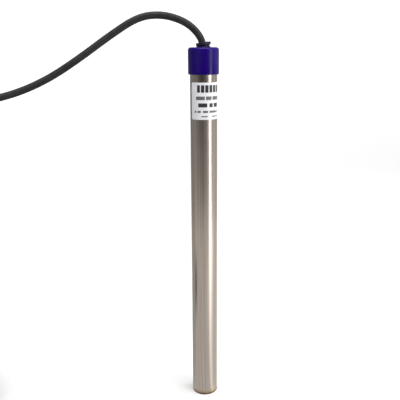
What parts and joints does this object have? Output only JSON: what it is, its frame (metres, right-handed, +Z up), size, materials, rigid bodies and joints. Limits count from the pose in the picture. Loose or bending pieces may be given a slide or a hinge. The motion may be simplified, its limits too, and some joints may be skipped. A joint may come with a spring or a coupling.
{
  "type": "submersible heater rod",
  "caption": "Slim upright submersible heater rod: stainless sheath, plastic cap, rubber gland, wrapped label and a mains lead with its plug.",
  "frame": {"origin": "centre of the sheath's flat closed end, where the rod stands", "axes": "+Z up along the sheath; the lead leaves towards -X; the label's print faces -Y"},
  "size_m": [0.3674, 0.1092, 0.4249],
  "materials": {
    "stainless": "satin drawn stainless steel, warm grey, heat tinted at the foot",
    "stainless_weld": "brown heat-tinted weld bead",
    "cap_plastic": "semi-gloss moulded plastic, deep violet-blue",
    "gland_rubber": "moulded rubber, near black with a violet cast",
    "label_foil": null,
    "cord_rubber": "matt black rubber jacket, finely textured",
    "plug_rubber": "matt black moulded rubber",
    "pin_metal": "satin nickel plate",
    "tie_fabric": "black hook-and-loop strap",
    "ceramic": "unglazed cream steatite",
    "mica": "pressed mica board",
    "quartz": "packed quartz sand",
    "heating_wire": "dull wound resistance wire",
    "zinc_steel": "zinc-plated steel",
    "stopper_rubber": "red-brown silicone rubber",
    "resin": "black cast resin",
    "phenolic": "dark brown phenolic moulding",
    "contact_brass": "brass",
    "bimetal": "rolled bimetal strip",
    "brown_wire": "brown insulation",
    "blue_wire": "blue insulation",
    "green_yellow_wire": "green and yellow insulation"
  },
  "bodies": {
    "heater": {"sheath_tube": "stainless", "end_disc": "stainless", "end_weld": "stainless_weld", "rating_label": "label_foil", "cap": "cap_plastic", "cable_gland": "gland_rubber", "sealing_plug": "stopper_rubber", "potting": "resin", "lower_spacer": "mica", "upper_spacer": "mica", "tie_rod": "zinc_steel", "tie_rod_nuts": "zinc_steel", "tie_rod_washers": "zinc_steel", "heating_coil": "heating_wire", "quartz_sand": "quartz", "lead_pins": "zinc_steel", "pin_sleeves": "ceramic", "splice_crimps": "contact_brass", "cutout_case": "phenolic", "cutout_cover": "phenolic", "arm_pivot": "zinc_steel", "cutout_tab": "contact_brass", "fixed_contact": "contact_brass", "cutout_jumper": "brown_wire", "live_core": "brown_wire", "neutral_core": "blue_wire", "earth_core": "green_yellow_wire", "earth_tag": "zinc_steel", "power_cord": "cord_rubber", "cord_coil": "cord_rubber", "cord_tail": "cord_rubber", "coil_tie_1": "tie_fabric", "coil_tie_2": "tie_fabric", "plug_body": "plug_rubber", "plug_relief": "plug_rubber", "plug_pins": "pin_metal", "plug_earth_strips": "pin_metal", "ceramic_bobbin_1": "ceramic", "ceramic_bobbin_2": "ceramic", "ceramic_bobbin_3": "ceramic", "ceramic_bobbin_4": "ceramic", "ceramic_bobbin_5": "ceramic"},
    "cutout_arm": {"bimetal_arm": "bimetal"}
  },
  "joints": [
    {"name": "cutout_arm_hinge", "type": "hinge", "parent": "heater", "child": "cutout_arm", "pos_m": [-0.0032, 0, 0.3005], "axis": [0, 1, 0], "range_deg": [0, 8], "stiffness_Nm_per_rad": 0.004}
  ]
}
